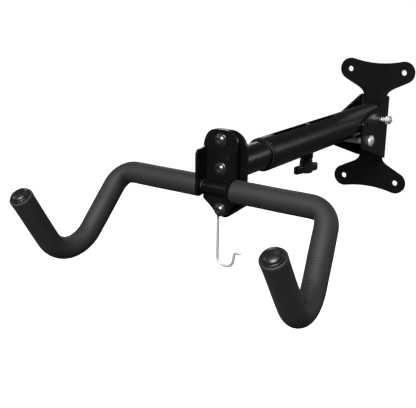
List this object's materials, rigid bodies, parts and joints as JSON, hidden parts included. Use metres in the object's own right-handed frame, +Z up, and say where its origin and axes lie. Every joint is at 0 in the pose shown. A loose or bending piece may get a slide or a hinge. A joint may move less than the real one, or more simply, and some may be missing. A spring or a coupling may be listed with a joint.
{
  "type": "folding bicycle wall rack",
  "caption": "Wall-mounted bicycle rack: a folding, telescoping arm with a padded double-hook bar, a clamp knob and a small wire helmet hook.",
  "frame": {"origin": "centre of the wall plate's back face, midway between its four screw holes", "axes": "+Y into the wall, +Z up, +X to the right for someone who faces the wall; the arm reaches out along -Y"},
  "size_m": [0.2838, 0.5074, 0.1738],
  "materials": {
    "black_coat": "satin black powder coat",
    "black_bolt": "black oxide screw steel",
    "zinc": "bright zinc plate",
    "foam": "matte charcoal closed-cell foam",
    "gloss_plastic": "glossy black moulding",
    "knob_plastic": "matte black moulding",
    "nylon": "black nylon"
  },
  "bodies": {
    "wall_bracket": {"wall_plate": "black_coat", "pivot_bolt": "zinc", "pivot_washer": "zinc", "pivot_nut": "zinc", "stop_bolt": "zinc", "stop_sleeve": "zinc", "stop_washer": "zinc", "stop_nut": "zinc"},
    "outer_arm": {"outer_tube": "black_coat", "pivot_sleeve": "black_coat", "tube_bush": "nylon", "clamp_boss": "black_coat"},
    "clamp_screw": {"clamp_screw": "zinc"},
    "clamp_knob": {"clamp_knob": "knob_plastic"},
    "inner_arm": {"inner_tube": "black_coat", "guide_screw": "black_bolt", "end_plate": "black_coat", "hook_channel": "black_coat", "hook_bar": "black_coat", "pad_left": "foam", "pad_right": "foam", "end_cap_left": "gloss_plastic", "end_cap_right": "gloss_plastic", "bolt_top": "black_bolt", "bolt_middle": "black_bolt", "bolt_bottom": "black_bolt", "nut_top": "black_bolt", "nut_middle": "black_bolt", "nut_bottom": "black_bolt", "washer_top": "black_bolt", "washer_bottom": "black_bolt", "spacer_top": "zinc", "spacer_middle": "zinc"},
    "wire_hook": {"wire_hook": "zinc"}
  },
  "joints": [
    {"name": "arm_fold", "type": "hinge", "parent": "wall_bracket", "child": "outer_arm", "pos_m": [0, -0.0245, 0.0145], "axis": [-1, 0, 0], "range_deg": [0, 85]},
    {"name": "arm_extend", "type": "slide", "parent": "outer_arm", "child": "inner_arm", "axis": [0, -1, 0], "range_m": [-0.06, 0.078]},
    {"name": "clamp_turn", "type": "hinge", "parent": "clamp_screw", "child": "clamp_knob", "pos_m": [0, -0.192, -0.02], "axis": [0, 0, -1], "range_deg": [0, 720]},
    {"name": "clamp_advance", "type": "slide", "parent": "outer_arm", "child": "clamp_screw", "axis": [0, 0, -1], "range_m": [0, 0.0025]},
    {"name": "wire_swing", "type": "hinge", "parent": "inner_arm", "child": "wire_hook", "pos_m": [0, -0.364, -0.0255], "axis": [0, 1, 0], "range_deg": [-70, 70]}
  ],
  "couplings": [
    {"joint": "clamp_turn", "follows": "clamp_advance", "rad_per_m": 5026.5}
  ]
}
